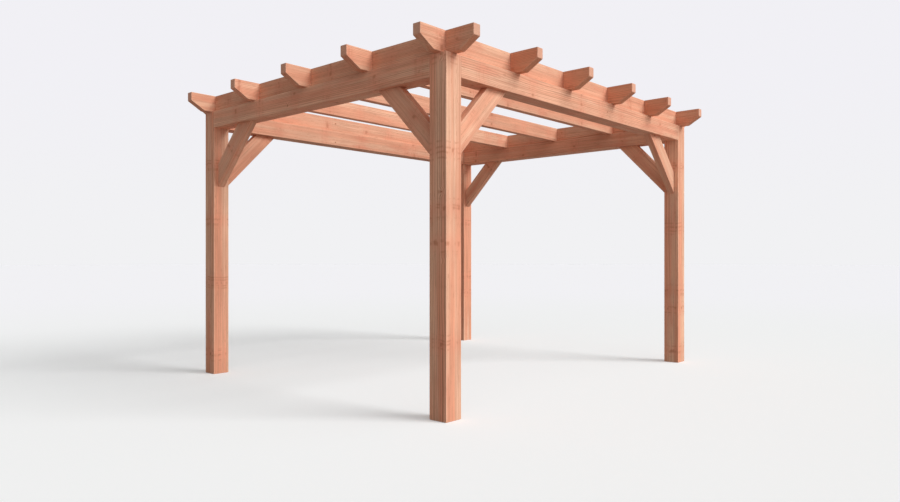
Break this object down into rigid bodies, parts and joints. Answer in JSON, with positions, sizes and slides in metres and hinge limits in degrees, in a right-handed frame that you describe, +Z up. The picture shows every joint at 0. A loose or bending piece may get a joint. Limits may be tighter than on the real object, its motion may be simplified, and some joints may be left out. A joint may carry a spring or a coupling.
{
  "type": "timber pergola",
  "caption": "Open timber pergola: square posts, a ring of beams with knee braces, and a grid of rafters with cut tails that shades a patio.",
  "frame": {"origin": "on the ground, in the middle of the plan", "axes": "+Z up, +X along the long front side, -Y towards the front"},
  "size_m": [3.8, 3.2, 2.4],
  "materials": {
    "post_timber": "planed reddish softwood, oiled, satin",
    "beam_timber": "planed reddish softwood, oiled, satin",
    "rafter_timber": "planed reddish softwood, oiled, satin",
    "brace_timber": "planed reddish softwood, oiled, satin"
  },
  "bodies": {
    "root": {"front_left_post": "post_timber", "front_right_post": "post_timber", "back_left_post": "post_timber", "back_right_post": "post_timber", "front_beam": "beam_timber", "back_beam": "beam_timber", "left_beam": "beam_timber", "right_beam": "beam_timber", "rafter_1": "rafter_timber", "rafter_2": "rafter_timber", "rafter_3": "rafter_timber", "rafter_4": "rafter_timber", "rafter_5": "rafter_timber", "left_end_rafter": "rafter_timber", "right_end_rafter": "rafter_timber", "front_tail_1": "rafter_timber", "front_tail_2": "rafter_timber", "front_tail_3": "rafter_timber", "front_tail_4": "rafter_timber", "back_tail_1": "rafter_timber", "back_tail_2": "rafter_timber", "back_tail_3": "rafter_timber", "back_tail_4": "rafter_timber", "front_beam_left_brace": "brace_timber", "front_beam_right_brace": "brace_timber", "back_beam_left_brace": "brace_timber", "back_beam_right_brace": "brace_timber", "left_beam_front_brace": "brace_timber", "left_beam_back_brace": "brace_timber", "right_beam_front_brace": "brace_timber", "right_beam_back_brace": "brace_timber"}
  },
  "joints": []
}
